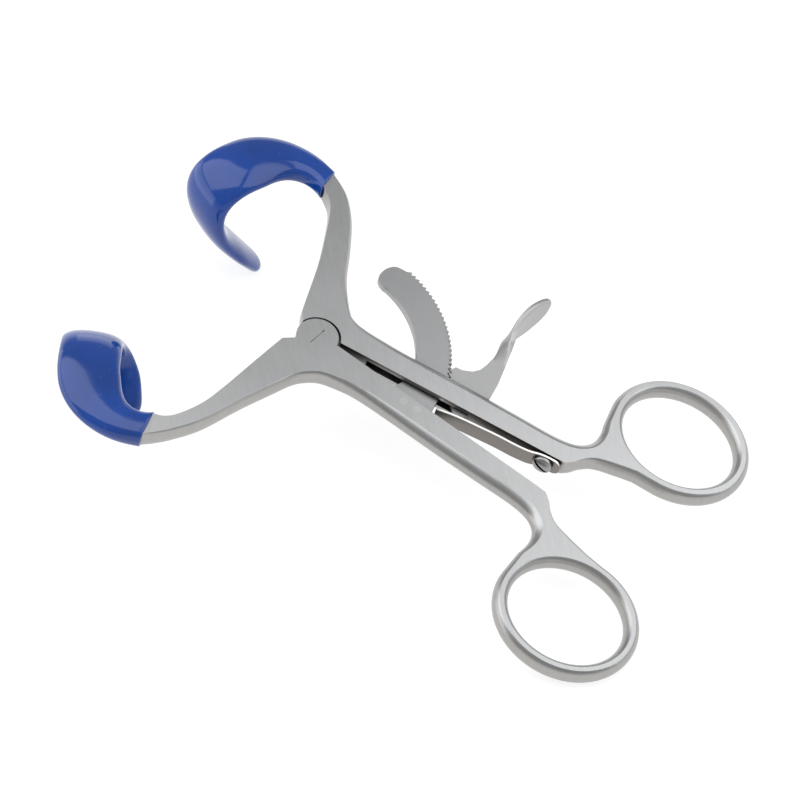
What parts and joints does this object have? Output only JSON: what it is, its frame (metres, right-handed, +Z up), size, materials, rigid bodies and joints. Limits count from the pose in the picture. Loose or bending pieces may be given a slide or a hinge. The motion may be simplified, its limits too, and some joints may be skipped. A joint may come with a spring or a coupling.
{
  "type": "ratcheting mouth retractor",
  "caption": "Ring-handled steel mouth and cheek retractor with hooked jaws in soft silicone boots, a curved ratchet bar and a sprung release lever.",
  "frame": {"origin": "centre of the bounding box's bottom face: the instrument lies on a table, on its two hook tips and one finger ring", "axes": "+X from the jaws towards the finger rings, +Y towards the upper arm, which carries the release lever, +Z up; the instrument's own plane leans 11 degrees to the table"},
  "size_m": [0.1514, 0.0972, 0.0352],
  "materials": {
    "satin_steel": "satin brushed, rounded outer sides brighter",
    "plate_steel": "flat ground plate, matt",
    "spring_steel": "smooth strip, half bright",
    "blue_silicone": "glossy royal blue silicone"
  },
  "bodies": {
    "lower_half": {"lower_arm": "satin_steel", "ratchet_bar": "plate_steel", "ratchet_rivet_1": "satin_steel", "ratchet_rivet_2": "satin_steel", "pivot_pin": "satin_steel", "lower_jaw_boot": "blue_silicone"},
    "upper_half": {"upper_arm": "satin_steel", "lever_pin": "satin_steel", "leaf_spring": "spring_steel", "spring_screw": "satin_steel", "upper_jaw_boot": "blue_silicone"},
    "lever": {"release_lever": "plate_steel"}
  },
  "joints": [
    {"name": "jaw_hinge", "type": "hinge", "parent": "lower_half", "child": "upper_half", "pos_m": [-0.02297, 0.00177, 0.02167], "axis": [0.1693, -0.093, 0.9812], "range_deg": [0, 44.84]},
    {"name": "lever_hinge", "type": "hinge", "parent": "upper_half", "child": "lever", "pos_m": [0.01275, 0.00794, 0.01609], "axis": [0.1693, -0.093, 0.9812], "range_deg": [-12, 0], "stiffness_Nm_per_rad": 0.08, "springref_deg": 5.73}
  ]
}
